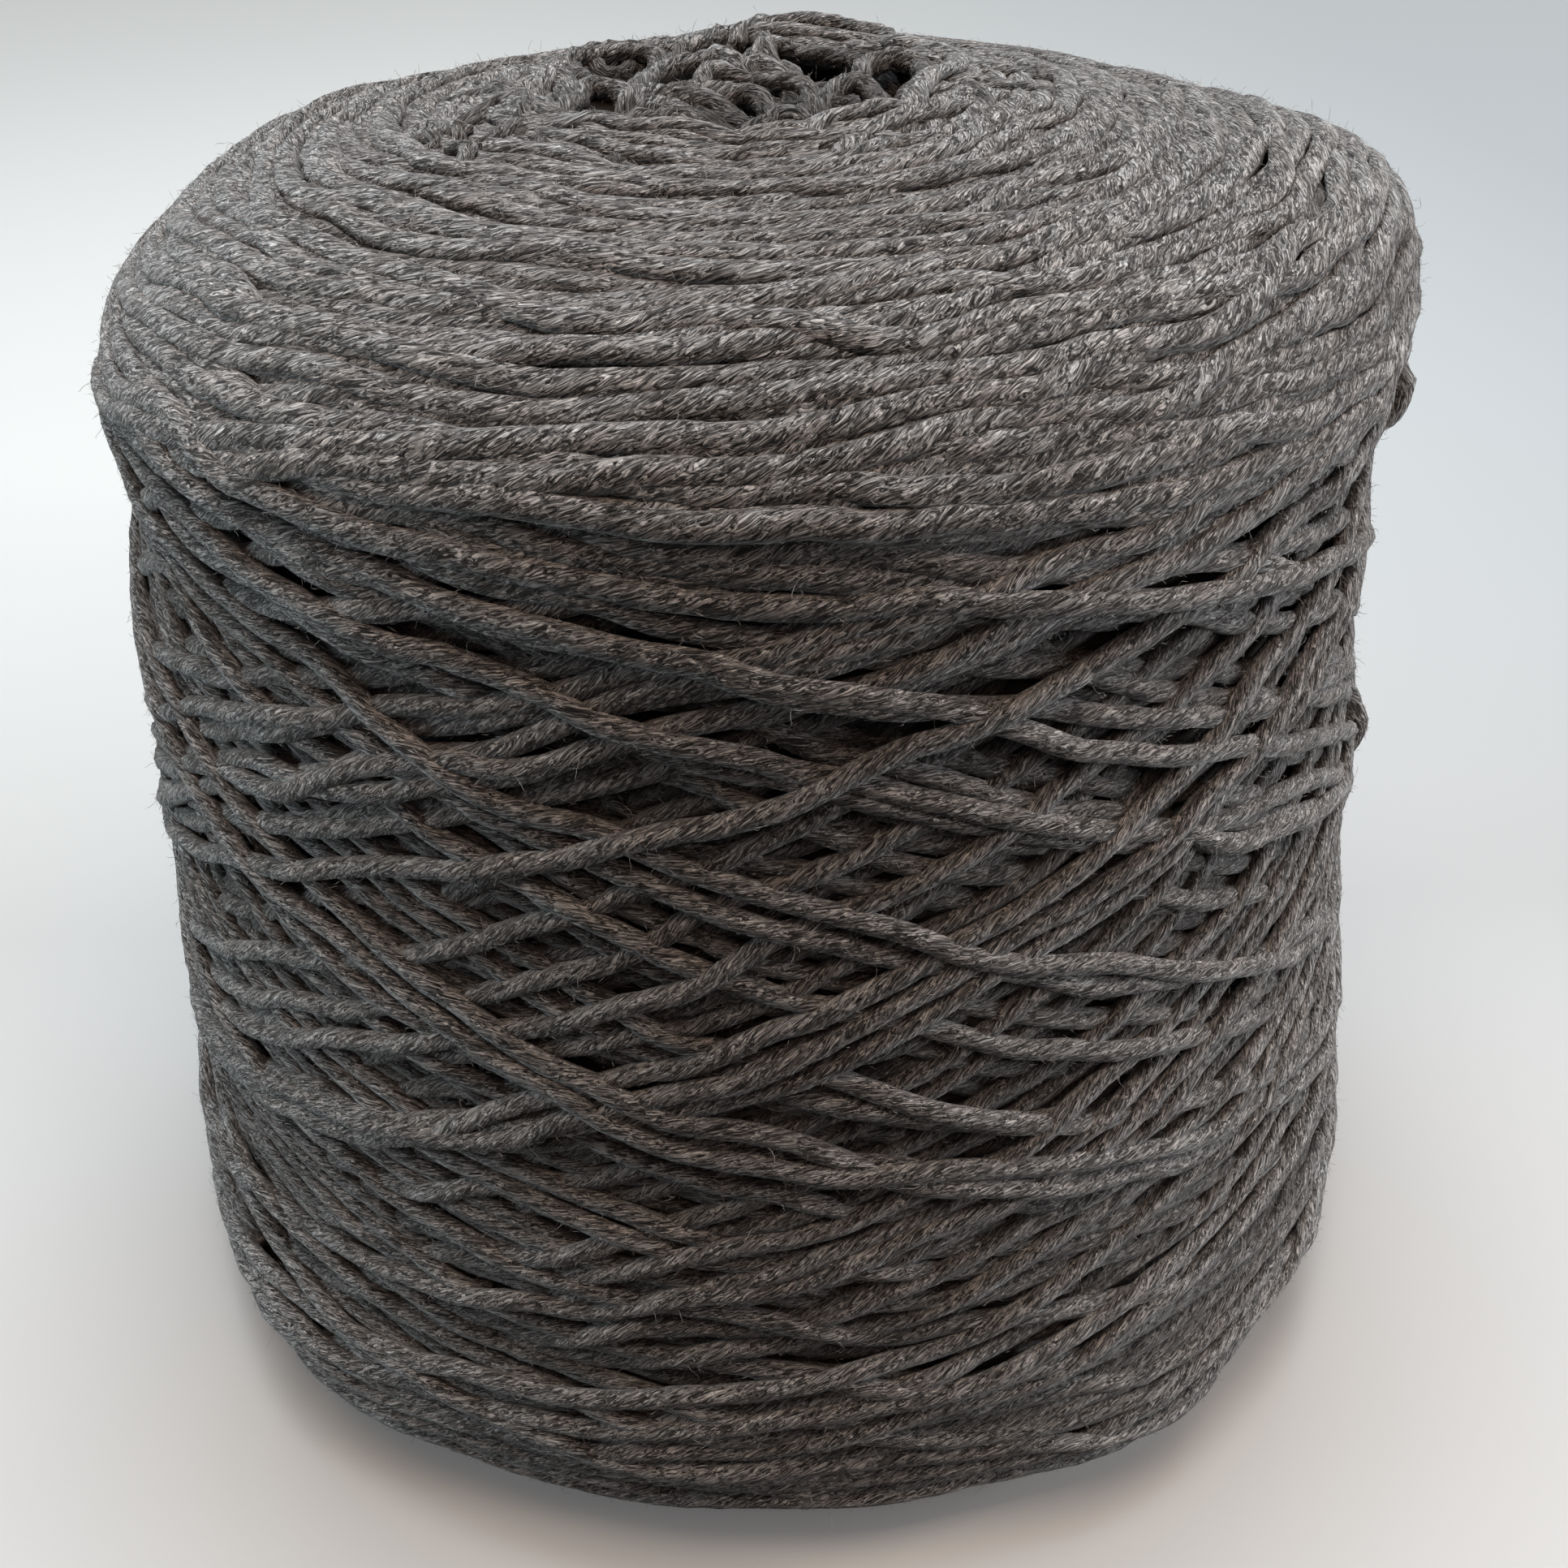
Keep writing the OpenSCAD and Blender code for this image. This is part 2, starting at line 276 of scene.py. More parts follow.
def turning_place(up):
    """Where a pass turns back: anywhere on the dome going up, near the lower edge going down."""
    if not up:
        return RUN_LOW + LOW_TURNS * rng.random() ** LOW_CROWDING
    if rng.random() < TO_LIP_SHARE:
        return run_at_dome_radius(rng.uniform(*LIP_TURNS))
    return run_at_dome_radius(rng.uniform(*DOME_TURNS))


def wind():
    """Lays every pass of the yarn, one on another. Returns angle, run and height of its centre line."""
    angle, run, up = FIRST_ANGLE, RUN_LOW, True
    laid = []
    for _ in range(PASSES):
        ground = heights.mean(axis=0)
        tries = []
        for _ in range(CANDIDATES):
            a, r = pass_places(angle, run, turning_place(up), rng.uniform(*LEAN_SPREAD))
            where = cells(a, r)
            hollow = np.maximum(ground[where[1]] - heights[where], 0)
            tries.append((-(hollow ** 2).mean(), a, r))
        _, a, r = min(tries, key=lambda t: t[0])
        a, r = settle(a, r)
        centre = pulled_down(a, r, smoothed(rest_height(a, r), 1.2) + YARN_H / 2 - SINK)
        centre = smoothed(centre, 1.6)
        stamp(heights, a, r, centre)
        laid.append(np.c_[a, r, centre][:-1])
        angle, run, up = a[-1], r[-1], not up
    return np.vstack(laid)


BELL_LOSS = 3.5                    # a bell of width w divides a random spread by the root of this times w
SLACK_RUNS = [RUN_LIP - 22, RUN_LIP - 4]    # passes grow slack between these places
WAVE_ACROSS = (0.15, 0.75)         # how far passes wave sideways, and how much more where they are slack
WAVE_UP = (0.08, 0.57)             # and the same up and down


def uneven(count, reach, size):
    """Smooth random values of that size, whose bumps are a few times the reach in steps."""
    return size * smoothed(rng.normal(0, math.sqrt(reach * BELL_LOSS), count), reach)


def loosened(places):
    """The same passes, a little wavy: hardly on the wall, and most where they lie slack by the lip."""
    slack = np.interp(places[:, 1], SLACK_RUNS, [0.0, 1.0])
    places[:, 1] += uneven(len(places), 2.2, WAVE_ACROSS[0] + WAVE_ACROSS[1] * slack)
    places[:, 2] += uneven(len(places), 2.6, WAVE_UP[0] + WAVE_UP[1] * slack)
    return places


def swelling(angle, z):
    """How far the package stands out from its even outline there."""
    total = np.zeros_like(angle)
    for height, towards, spread_z, spread_angle, size in SWELLS:
        off = np.angle(np.exp(1j * (angle - math.radians(towards))))
        total += size * np.exp(-((z - height) / spread_z) ** 2 - (off / math.radians(spread_angle)) ** 2)
    return total


def on_package(angle, run, lift):
    """Points at a lift over the package's outline, and the outward directions there."""
    r, z = np.interp(run, RUNS, RUN_R), np.interp(run, RUNS, RUN_Z)
    out_r, out_z = np.interp(run, RUNS, OUT_R), np.interp(run, RUNS, OUT_Z)
    lift = lift + swelling(angle, z)
    around = np.c_[np.cos(angle), np.sin(angle)]
    points = np.c_[around * (r + out_r * lift)[:, None], z + out_z * lift]
    return points, np.c_[around * out_r[:, None], out_z]


# Meshes -------------------------------------------------------------------------------------------

SIDES = 8
RING_POINTS = 2                    # a pass gets one ring for this many of its points
RING_STEP = RING_POINTS * LAY_STEP
MAX_RINGS = 12000                  # rings of yarn in one piece,
SPARE_RINGS = 8                    # which is full when no more than this many are left
RAGGED = 0.045                     # unevenness of single points of the yarn's rings
LUMP = 0.06                        # unevenness of the yarn's thickness along its length
YARN_GIRTH = 9.4                   # round the fullest yarn

# Thicker and thinner places along the yarn, every 3 mm
thickness_steps = np.arange(0, 260000, 3.0)
THICKNESS = (thickness_steps, smoothed(rng.normal(0, 1.6, len(thickness_steps)), 1.4))

# How much of its height a pass keeps over its neighbours: the soft yarn beds in, least at mid-wall
BED_PLACES = [RUN_LOW, run_at_height(30), run_at_height(70), run_at_height(118), run_at_height(146), RUN_LIP]
BED_SHARES = [0.44, 0.54, 0.62, 0.58, 0.34, 0.34]
PROUD_SHARE = 0.5                  # and how much of that where it would stand over the package's outline
DEEPEST = 4.2                      # no yarn that shows lies deeper than this
CORE_SINK = 3.9                    # depth of the turned body under the yarn that shows


def mesh_piece(name, points, corners, sizes, material, maps=None, depth=None):
    """A mesh object from points in millimetres, corner indices, corners per face and UV maps. depth is
    painted shade, kept as a point attribute: 0 for a point that lies open and 1 for one that lies deep among
    the yarn."""
    mesh = bpy.data.meshes.new(name)
    mesh.vertices.add(len(points))
    mesh.vertices.foreach_set("co", (np.asarray(points) * MM).astype(np.float32).ravel())
    mesh.loops.add(len(corners))
    mesh.loops.foreach_set("vertex_index", np.asarray(corners, np.int32))
    mesh.polygons.add(len(sizes))
    starts = np.r_[0, np.cumsum(sizes)[:-1]]
    mesh.polygons.foreach_set("loop_start", starts.astype(np.int32))
    mesh.polygons.foreach_set("use_smooth", np.ones(len(sizes), bool))
    mesh.update(calc_edges=True)
    for map_name, uv in (maps or {}).items():
        layer = mesh.uv_layers.new(name=map_name)
        layer.data.foreach_set("uv", np.asarray(uv, np.float32).ravel())
    if depth is not None:
        mesh.attributes.new("depth", "FLOAT", "POINT").data.foreach_set("value", depth.astype(np.float32))
    mesh.validate()
    mesh.materials.append(material)
    piece = bpy.data.objects.new(name, mesh)
    bpy.context.scene.collection.objects.link(piece)
    return piece


def ring_points(path, outward, half_w, half_h, uneven_by):
    """Slightly ragged rings of points round a path. outward is the short axis of each ring."""
    ahead = np.gradient(path, axis=0)
    ahead /= np.linalg.norm(ahead, axis=1)[:, None] + 1e-12
    side = np.cross(ahead, outward)
    side /= np.linalg.norm(side, axis=1)[:, None] + 1e-12
    up = np.cross(side, ahead)
    turn = np.arange(SIDES) * TURN / SIDES
    across = np.sign(np.cos(turn)) * abs(np.cos(turn)) ** SQUARENESS
    rise = np.sign(np.sin(turn)) * abs(np.sin(turn)) ** SQUARENESS
    ragged = 1 + rng.normal(0, uneven_by, (len(path), SIDES))
    return (path[:, None, :] + (ragged * half_w[:, None] * across)[..., None] * side[:, None, :]
            + (ragged * half_h[:, None] * rise)[..., None] * up[:, None, :])


def tube_faces(lengths, sides):
    """Corners and face sizes of closed tubes, whose rings follow each other in one list."""
    firsts = np.r_[0, np.cumsum(lengths)[:-1]]
    wall_rings = np.concatenate([np.arange(f, f + n - 1) for f, n in zip(firsts, lengths)])
    k = np.arange(sides)
    here = wall_rings[:, None] * sides + k
    beside = wall_rings[:, None] * sides + (k + 1) % sides
    quads = np.stack([here, here + sides, beside + sides, beside], axis=-1).reshape(-1)
    heads = (firsts[:, None] * sides + k).reshape(-1)
    tails = ((firsts + np.array(lengths) - 1)[:, None] * sides + k[::-1]).reshape(-1)
    sizes = np.r_[np.full(len(wall_rings) * sides, 4), np.full(2 * len(lengths), sides)]
    return np.r_[quads, heads, tails], sizes, wall_rings, firsts


def tube_maps(lengths, along, sides):
    """The yarn's own map, in metres along and turns round, and a packed map for textures."""
    _, _, wall_rings, firsts = tube_faces(lengths, sides)
    total = sum(lengths)
    k = np.arange(sides)
    u0, u1 = along[wall_rings][:, None] + 0 * k, along[wall_rings + 1][:, None] + 0 * k
    v0, v1 = (k / sides)[None, :] + 0 * u0, ((k + 1) / sides)[None, :] + 0 * u0
    own = np.stack([np.stack([u0, v0], -1), np.stack([u1, v0], -1), np.stack([u1, v1], -1),
                    np.stack([u0, v1], -1)], axis=2).reshape(-1, 2)
    rows = max(1, int(math.sqrt(total * RING_STEP / YARN_GIRTH)))
    per_row = math.ceil(total / rows) + 1
    row, place = wall_rings // per_row, wall_rings % per_row
    x0, x1 = (place / per_row)[:, None] + 0 * k, ((place + 1) / per_row)[:, None] + 0 * k
    y0 = (row[:, None] + 0.04 + 0.92 * k / sides) / rows
    y1 = (row[:, None] + 0.04 + 0.92 * (k + 1) / sides) / rows
    packed = np.stack([np.stack([x0, y0], -1), np.stack([x1, y0], -1), np.stack([x1, y1], -1),
                       np.stack([x0, y1], -1)], axis=2).reshape(-1, 2)
    cap = np.repeat(np.r_[along[firsts], along[firsts + np.array(lengths) - 1]], sides)
    cap_own = np.c_[cap, np.full(len(cap), 0.25)]
    cap_packed = np.full((len(cap), 2), 0.001)
    return {"yarn": np.vstack([own, cap_own]), "OFBake": np.vstack([packed, cap_packed]) * 0.998 + 0.001}


fibre_ground = []                  # places on the yarn where loose fibres may start


def yarn_piece(name, path, outward, along, lengths, material, depth, width, height, uneven_by=RAGGED):
    """One piece of yarn: closed tubes with a slightly uneven thickness. depth is the painted shade of each
    ring's points.
    """
    lump = 1 + LUMP * np.interp(along / MM, *THICKNESS)
    half_w, half_h = width / 2 * lump, height / 2 * lump
    rings = ring_points(path, outward, half_w, half_h, uneven_by)
    corners, sizes, _, _ = tube_faces(lengths, SIDES)
    joined = np.ones(len(path), bool)
    joined[np.cumsum(lengths) - 1] = False
    fibre_ground.append((path, outward, half_w, half_h, joined))
    return mesh_piece(name, rings.reshape(-1, 3), corners, sizes, material, tube_maps(lengths, along, SIDES),
                      np.clip(depth, 0, 1).reshape(-1))


# Materials ----------------------------------------------------------------------------------------


class Nodes:
    """Short calls for the nodes of one material."""

    def __init__(self, name):
        self.material = bpy.data.materials.new(name)
        self.material.use_nodes = True
        self.tree = self.material.node_tree
        self.shader = self.tree.nodes["Principled BSDF"]

    def node(self, kind, inputs=None, **settings):
        """A node with these settings. Its inputs are values or other nodes' outputs."""
        made = self.tree.nodes.new(kind)
        for key, value in settings.items():
            setattr(made, key, value)
        for key, value in (inputs or {}).items():
            self.put(made, key, value)
        return made

    def put(self, node, key, value):
        if isinstance(value, bpy.types.NodeSocket):
            self.tree.links.new(value, node.inputs[key])
        else:
            node.inputs[key].default_value = value

    def math(self, operation, *values):
        made = self.node("ShaderNodeMath", operation=operation)
        for i, value in enumerate(values):
            self.put(made, i, value)
        return made.outputs[0]

    def noise(self, vector, scale, detail=2.0, roughness=0.5):
        return self.node("ShaderNodeTexNoise", {"Vector": vector, "Scale": scale, "Detail": detail,
                                                "Roughness": roughness}).outputs["Fac"]

    def range(self, value, low, high, to_low=0.0, to_high=1.0):
        return self.node("ShaderNodeMapRange", {0: value, 1: low, 2: high, 3: to_low, 4: to_high}).outputs[0]

    def mix(self, share, a, b):
        made = self.node("ShaderNodeMix", data_type="RGBA")
        for socket, value in zip((made.inputs[0], made.inputs[6], made.inputs[7]), (share, a, b)):
            if isinstance(value, bpy.types.NodeSocket):
                self.tree.links.new(value, socket)
            else:
                socket.default_value = value
        return made.outputs[2]


def rgb(r, g, b):
    """A colour in linear light."""
    return (r, g, b, 1.0)


DEEP_PAINTED_SHADE = 0.80                   # painted shade: how far yarn that lies deep among the rest is darkened, towards near black
WARM_SHARE = 0.24                  # how far the warm patches take their tint
WANDER = 1.1                       # how far a fibre strays from the even twist
FIBRE_BUMP = 0.10                  # height of the fibres' relief
TONE_LOW, TONE_HIGH = 0.28, 0.73   # mixed tones of the fibres that show as dark and as light,
TONE_POWER = 1.75                  # above 1 with more dark than light
# Fine and broad fibres and locks: length against width, width, and shares in the tone and the relief
FIBRES = [(7.0, 0.08, 0.38, 1.0), (6.5, 0.16, 0.42, 2.0), (5.0, 0.48, 0.20, 2.4)]


def heather_yarn(name, light, dark, warm):
    """Soft grey yarn spun from light and dark fibres, which run round it with the twist, with painted shade
    in the creases between the fibres and where the yarn lies deep.
    """
    n = Nodes(name)
    uv = n.node("ShaderNodeUVMap", uv_map="yarn").outputs[0]
    split = n.node("ShaderNodeSeparateXYZ", {0: uv})
    along = n.math("MULTIPLY", split.outputs[0], 1 / MM)
    turned = n.math("SUBTRACT", n.math("MULTIPLY", split.outputs[1], TURN),
                    n.math("MULTIPLY", along, TURN / YARN_TWIST))
    x = n.math("MULTIPLY", n.math("COSINE", turned), YARN_W / 2)
    y = n.math("MULTIPLY", n.math("SINE", turned), YARN_W / 2)

    def place(stretch):
        return n.node("ShaderNodeCombineXYZ", {0: x, 1: y, 2: n.math("DIVIDE", along, stretch)}).outputs[0]

    cloud = n.node("ShaderNodeTexNoise", {"Vector": place(2.5), "Scale": 0.8, "Detail": 1.0})
    wander = n.node("ShaderNodeVectorMath", {0: cloud.outputs["Color"], 1: (0.5, 0.5, 0.5)},
                    operation="SUBTRACT").outputs[0]
    wander = n.node("ShaderNodeVectorMath", {0: wander, 3: WANDER}, operation="SCALE").outputs[0]

    def fibres(stretch, across):
        """A random value for each fibre, and the rounded rise of the fibre."""
        moved = n.node("ShaderNodeVectorMath", {0: place(stretch), 1: wander}, operation="ADD").outputs[0]
        cell = n.node("ShaderNodeTexVoronoi", {"Vector": moved, "Scale": 1 / across})
        tone = n.node("ShaderNodeSeparateXYZ", {0: cell.outputs["Color"]}).outputs[0]
        return tone, n.math("SUBTRACT", 1.0, cell.outputs["Distance"])

    share, relief, rises = 0.0, 0.0, []
    for stretch, across, tone_share, rise_share in FIBRES:
        tone, rise = fibres(stretch, across)
        share = n.math("MULTIPLY_ADD", tone, tone_share, share)
        relief = n.math("MULTIPLY_ADD", rise, rise_share, relief)
        rises.append(rise)
    share = n.math("POWER", n.range(share, TONE_LOW, TONE_HIGH), TONE_POWER)
    # Painted shade: the light share is darkened in the creases between the fibres, where less light gets in
    fine_crease_shade = n.range(rises[0], 0.2, 0.6, 0.7, 1.0)
    broad_crease_shade = n.range(rises[1], 0.25, 0.62, 0.42, 1.0)
    share = n.math("MULTIPLY", share, n.math("MULTIPLY", broad_crease_shade, fine_crease_shade))
    warm_patch = n.math("MULTIPLY", n.range(n.noise(place(3.0), 0.45, 1.0), 0.42, 0.66), WARM_SHARE)
    tinted = n.mix(warm_patch, n.mix(share, dark, light), n.mix(share, dark, warm))
    # Painted shade: the depth attribute darkens yarn that lies deep towards near black
    depth_shade = n.node("ShaderNodeAttribute", attribute_name="depth").outputs["Fac"]
    shaded = n.mix(n.math("MULTIPLY", depth_shade, DEEP_PAINTED_SHADE), tinted, rgb(0.004, 0.0038, 0.0036))
    n.put(n.shader, "Base Color", shaded)
    n.put(n.shader, "Roughness", 0.95)
    n.put(n.shader, "Specular IOR Level", 0.15)
    n.put(n.shader, "Sheen Weight", 0.28)
    n.put(n.shader, "Sheen Roughness", 0.45)
    bump = n.node("ShaderNodeBump", {"Strength": 1.0, "Distance": FIBRE_BUMP * MM, "Height": relief})
    n.put(n.shader, "Normal", bump.outputs[0])
    return n.material


def loose_fibre(name, colour):
    """Single fibres that stand off the yarn."""
    n = Nodes(name)
    place = n.node("ShaderNodeTexCoord").outputs["Object"]
    dark_share = n.range(n.noise(place, 900.0), 0.42, 0.7)
    n.put(n.shader, "Base Color", n.mix(dark_share, colour, rgb(0.08, 0.075, 0.07)))
    n.put(n.shader, "Roughness", 0.6)
    n.put(n.shader, "Specular IOR Level", 0.3)
    return n.material


def shade_dark_inner_yarn(name):
    """Yarn deep in the package, seen only through gaps, painted near black as painted shade."""
    n = Nodes(name)
    place = n.node("ShaderNodeTexCoord").outputs["Object"]
    flat = n.node("ShaderNodeMapping", {"Vector": place, "Scale": (260, 260, 1400)}).outputs[0]
    colour = n.mix(n.noise(flat, 1.0), rgb(0.008, 0.0075, 0.007), rgb(0.05, 0.046, 0.043))
    n.put(n.shader, "Base Color", colour)
    n.put(n.shader, "Roughness", 0.95)
    n.put(n.shader, "Specular IOR Level", 0.1)
    return n.material


def kraft_paper(name):
    """Rolled brown paper: faint level plies, short fibres and a slightly worn tone."""
    n = Nodes(name)
    place = n.node("ShaderNodeTexCoord").outputs["Object"]
    flat = n.node("ShaderNodeMapping", {"Vector": place, "Scale": (500, 500, 1500)}).outputs[0]
    fibre = n.noise(flat, 1.0, 3.0, 0.65)
    cloud = n.noise(place, 60.0, 2.0)
    colour = n.mix(n.range(fibre, 0.3, 0.7), rgb(0.40, 0.28, 0.17), rgb(0.60, 0.46, 0.31))
    n.put(n.shader, "Base Color", n.mix(n.range(cloud, 0.3, 0.8, 0.0, 0.35), colour, rgb(0.34, 0.24, 0.15)))
    n.put(n.shader, "Roughness", 0.82)
    n.put(n.shader, "Specular IOR Level", 0.3)
    bump = n.node("ShaderNodeBump", {"Strength": 0.4, "Distance": 0.1 * MM, "Height": fibre})
    n.put(n.shader, "Normal", bump.outputs[0])
    return n.material


LIGHT_FIBRE = rgb(0.85, 0.868, 0.885)
WARM_FIBRE = rgb(0.88, 0.73, 0.64)
DARK_FIBRE = rgb(0.015, 0.015, 0.015)
yarn_finish = heather_yarn("heather_yarn", LIGHT_FIBRE, DARK_FIBRE, WARM_FIBRE)
fibre_finish = loose_fibre("loose_fibre", rgb(0.55, 0.54, 0.53))
inner_shade_finish = shade_dark_inner_yarn("shade_dark_inner_yarn")
paper_finish = kraft_paper("kraft_paper")


# Camera, floor and light --------------------------------------------------------------------------

IMAGE_PX, FOCAL_PX = 1932, 2100    # width of the picture and the lens's focal length, in its pixels
CAMERA_AT = (0.12, -226.2, 212.4)
CAMERA_PITCH, CAMERA_YAW, CAMERA_ROLL = 33.2, 0.9, -1.42


def add_camera():
    """Camera looking down at the front of the package."""
    pitch, yaw, roll = (math.radians(a) for a in (CAMERA_PITCH, CAMERA_YAW, CAMERA_ROLL))
    ahead = Vector((math.sin(yaw) * math.cos(pitch), math.cos(yaw) * math.cos(pitch), -math.sin(pitch)))
    right = Vector((math.cos(yaw), -math.sin(yaw), 0))
    up = right.cross(ahead)
    x = math.cos(roll) * right + math.sin(roll) * up
    y = -math.sin(roll) * right + math.cos(roll) * up
    data = bpy.data.cameras.new("camera")
    data.sensor_width = 36
    data.lens = data.sensor_width * FOCAL_PX / IMAGE_PX
    data.clip_start, data.clip_end = 0.01, 20
    camera = bpy.data.objects.new("camera", data)
    turn = Matrix((x, y, -ahead)).transposed().to_4x4()
    camera.matrix_world = Matrix.Translation(Vector(CAMERA_AT) * MM) @ turn
    bpy.context.scene.collection.objects.link(camera)
    bpy.context.scene.camera = camera


# Colour of the floor by the package, and colour and painted light, a glow that camera and reflection rays
# see, far off to the left and to the right; the faint near glow is painted light that lifts the shadow by the
# package
NEAR_FLOOR, NEAR_GLOW = rgb(0.81, 0.835, 0.85), rgb(0.04, 0.04, 0.04)
LEFT_FLOOR, RIGHT_FLOOR = rgb(0.41, 0.42, 0.42), rgb(0.05, 0.07, 0.09)
LEFT_GLOW, RIGHT_GLOW = rgb(0.50, 0.515, 0.512), rgb(0.515, 0.54, 0.55)
THROWN_UP = rgb(0.09, 0.085, 0.08)     # colour of the floor as the package sees it
# Stretches over which these change, in metres
FLOOR_LEFT_TO_RIGHT = (-0.2, 0.4)
COLOUR_NEAR_TO_FAR, GLOW_NEAR_TO_FAR = (-0.12, 0.30), (0.05, 0.30)
FLOOR_SIZE, FLOOR_BACK = 12, 3


def floor_finish():
    """Pale floor: the light and shade that fall on it near the package, lifted a little by a painted glow,
    and far off a painted glow that stands in for the light on it and changes from left to right. Light that
    it would throw up on to the package is held back."""
    n = Nodes("pale_floor")
    place = n.node("ShaderNodeTexCoord").outputs["Object"]
    split = n.node("ShaderNodeSeparateXYZ", {0: place})
    right = n.range(split.outputs[0], *FLOOR_LEFT_TO_RIGHT)
    far_colour, far_glow = n.mix(right, LEFT_FLOOR, RIGHT_FLOOR), n.mix(right, LEFT_GLOW, RIGHT_GLOW)
    base = n.mix(n.range(split.outputs[1], *COLOUR_NEAR_TO_FAR), NEAR_FLOOR, far_colour)
    glow = n.mix(n.range(split.outputs[1], *GLOW_NEAR_TO_FAR), NEAR_GLOW, far_glow)
    path = n.node("ShaderNodeLightPath")
    seen = n.math("MAXIMUM", n.math("MAXIMUM", path.outputs["Is Camera Ray"], path.outputs["Is Glossy Ray"]),
                  path.outputs["Is Transmission Ray"])
    n.put(n.shader, "Base Color", n.mix(seen, THROWN_UP, base))
    n.put(n.shader, "Roughness", 0.9)
    n.put(n.shader, "Specular IOR Level", 0.1)
    # Painted light: a glow that only camera, reflection and transmission rays see, in place of light on the
    # floor
    n.put(n.shader, "Emission Color", glow)
    n.put(n.shader, "Emission Strength", seen)
    return n.material


def add_floor():
    """One level plane, which runs on to the horizon as the backdrop."""
    bpy.ops.mesh.primitive_plane_add(size=FLOOR_SIZE, location=(0, FLOOR_BACK, 0))
    floor = bpy.context.object
    floor.name = "floor"
    floor.data.transform(floor.matrix_world)
    floor.matrix_world = Matrix.Identity(4)
    floor.data.materials.append(floor_finish())


def add_area(name, at, aim, size, watts, colour):
    """A rectangular lamp. Its places and size are in metres."""
    data = bpy.data.lights.new(name, "AREA")
    data.shape = "RECTANGLE"
    data.size, data.size_y = size
    data.energy = watts
    data.color = colour
    lamp = bpy.data.objects.new(name, data)
    lamp.location = at
    lamp.rotation_euler = (Vector(aim) - Vector(at)).to_track_quat("-Z", "Y").to_euler()
    bpy.context.scene.collection.objects.link(lamp)


def add_light():
    """Broad soft light overhead and at both sides, warmer light on the front, and a dim surround."""
    add_area("overhead", (0.0, 0.27, 0.96), (0, 0.02, 0.1), (0.7, 0.8), 9.0, (0.90, 0.96, 1.0))
    add_area("front_top", (0.05, -0.29, 1.0), (0, -0.03, 0.1), (0.7, 0.35), 3.3, (1.0, 0.75, 0.57))
    add_area("left_side", (-1.0, 0.05, 0.125), (0, 0, 0.1), (0.65, 0.22), 5.8, (0.85, 0.96, 1.0))
    add_area("right_side", (1.0, 0.05, 0.13), (0, 0, 0.1), (0.65, 0.22), 9.2, (1.0, 1.0, 1.0))
    add_area("front", (0.1, -0.8, 0.9), (0, 0, 0.1), (0.6, 0.4), 0.6, (1.0, 0.55, 0.38))
    world = bpy.data.worlds.new("surround")
    world.use_nodes = True
    back = world.node_tree.nodes["Background"]
    back.inputs["Color"].default_value = rgb(0.98, 0.99, 1.0)
    back.inputs["Strength"].default_value = 0.05
    bpy.context.scene.world = world


add_camera()
add_floor()
add_light()
bpy.context.scene.view_settings.view_transform = "Standard"


# Wound yarn ---------------------------------------------------------------------------------------

laid = loosened(wind())
lay_angle, lay_run, lay_centre = laid.T


def bedded(run, over_crest):
    """Height over the package's outline once the soft yarn has bedded in."""
    kept = over_crest * np.interp(run, BED_PLACES, BED_SHARES)
    return np.where(kept > 0, kept * PROUD_SHARE, DEEPEST * np.expm1(kept / DEEPEST))


EVEN_ANGLE, EVEN_CELLS = 10, 18    # spread of the evening, round in degrees and up in cells
FULL_PERCENTILE = 88               # height that counts as full: this percentage of the ground lies lower


def evened(ground):
    """A height map with its rises and hollows spread out over a few centimetres."""
    steps = np.arange(ANGLE_CELLS)
    off = np.minimum(steps, ANGLE_CELLS - steps) * 360 / ANGLE_CELLS
    bell = np.exp(-0.5 * (off / EVEN_ANGLE) ** 2)
    around = np.fft.ifft(np.fft.fft(ground, axis=0) * np.fft.fft(bell / bell.sum())[:, None], axis=0).real
    return np.array([smoothed(row, EVEN_CELLS) for row in around])


# The package is wound full all over, so the yarn's fullest height in each part is laid on the outline
level = evened(heights)
level += smoothed(np.percentile(heights - level, FULL_PERCENTILE, axis=0), 12)
# The yarn lies on its neighbours, so a last bell rounds the joins between passes
lay_top = bedded(lay_run, smoothed(lay_centre + YARN_H / 2 - level[cells(lay_angle, lay_run)], 1.2))
on_dome = np.interp(lay_run, [RUN_SHOULDER - 12, RUN_SHOULDER + 10], [0.0, 1.0])
lay_w = YARN_W * np.interp(on_dome, [0, 1], PRESSED_W)
lay_h = YARN_H * np.interp(on_dome, [0, 1], PRESSED_H)
lay_lift = lay_top - lay_h / 2


def depth_under_others():
    """How deep each point of the yarn lies under the yarn above it, at the part that shows most."""
    cover = np.full(heights.shape, -9.0)
    stamp(cover, lay_angle, lay_run, lay_lift, lay_w / 2, lay_h / 2)
    side_round, side_run, radius = sideways(lay_angle, lay_run)
    depth = np.full(len(laid), 1e9)
    for offset in np.linspace(-0.9, 0.9, 5):
        d = offset * lay_w / 2
        top = lay_lift + lay_h / 2 * math.sqrt(1 - offset ** 2)
        place = cells(lay_angle + d * side_round / radius, lay_run + d * side_run)
        depth = np.minimum(depth, cover[place] - top)
    return depth


LEAST_COVER = 0.22                 # yarn that lies under more than this can't be seen
LEAST_POINTS = 6                   # a stretch of the yarn with no more points than this is left out
TUCK_POINTS, TUCK_DEPTH = 3, 1.0   # its ends go on this many points further, and this much deeper
OPEN_DEPTH, DARK_DEPTH = 0.8, 3.4  # depths at which painted shade starts to darken the yarn, and has darkened it fully


